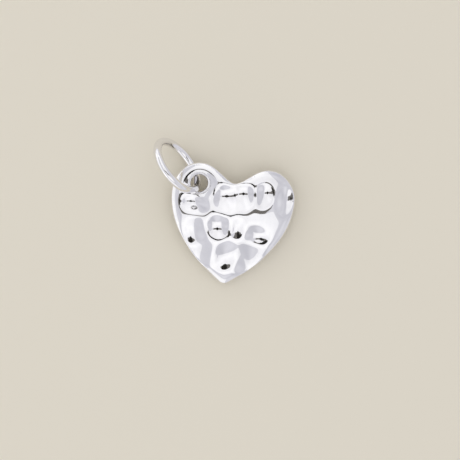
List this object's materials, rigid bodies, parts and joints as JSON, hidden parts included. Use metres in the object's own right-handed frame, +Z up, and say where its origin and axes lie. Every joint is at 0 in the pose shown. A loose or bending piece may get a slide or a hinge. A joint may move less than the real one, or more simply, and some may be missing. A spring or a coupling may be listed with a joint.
{
  "type": "heart charm",
  "caption": "Small solid silver heart with a hammered, gently crowned face, hung from a round wire jump ring through a hole in one lobe.",
  "frame": {"origin": "on the table under the middle of the charm's box, as the charm lies on its back", "axes": "+Z up from the table, +Y from the heart's tip towards its lobes, +X to the right of the hammered face"},
  "size_m": [0.0144, 0.0136, 0.0058],
  "materials": {
    "heart_silver": "hammered and polished silver",
    "ring_silver": "polished silver wire"
  },
  "bodies": {
    "heart": {"heart_plate": "heart_silver"},
    "ring": {"jump_ring": "ring_silver"}
  },
  "joints": [
    {"name": "ring_swivel", "type": "hinge", "parent": "heart", "child": "ring", "pos_m": [-0.00256, 0.00285, 0.00155], "axis": [0.0408, -0.1121, 0.9929], "range_deg": [-90, 90]}
  ]
}
